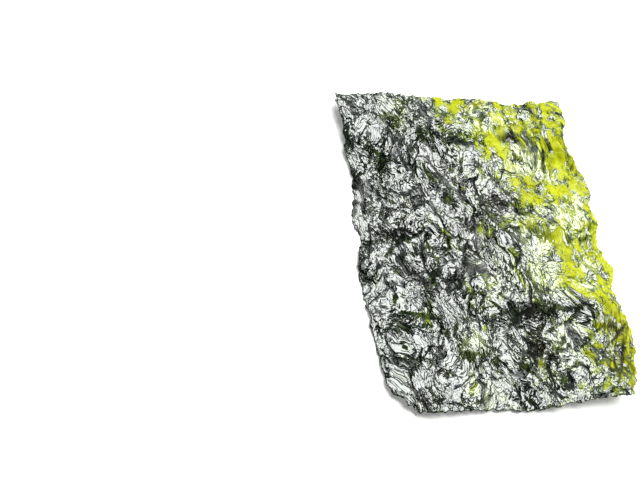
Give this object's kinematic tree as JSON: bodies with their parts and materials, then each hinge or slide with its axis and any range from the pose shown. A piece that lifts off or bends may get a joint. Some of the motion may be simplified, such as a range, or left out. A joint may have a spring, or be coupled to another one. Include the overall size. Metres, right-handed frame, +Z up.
{
  "type": "nori sheet",
  "caption": "Snack-size sheet of roasted, oiled laver: a thin crisp leaf with crumpled facets, folds and pads, a ragged thin margin and curled corners, lying flat.",
  "frame": {"origin": "under the middle of the leaf's bounding box, on the surface that it lies on", "axes": "+X along the short side, towards the thin green margin; +Y along the long side; +Z up, out of the shown face"},
  "size_m": [0.073, 0.0934, 0.0054],
  "materials": {
    "oiled_laver": "glossy, roasted and oiled seaweed, nearly black green with a thin yellow-green margin"
  },
  "bodies": {
    "root": {"nori_sheet": "oiled_laver"}
  },
  "joints": []
}
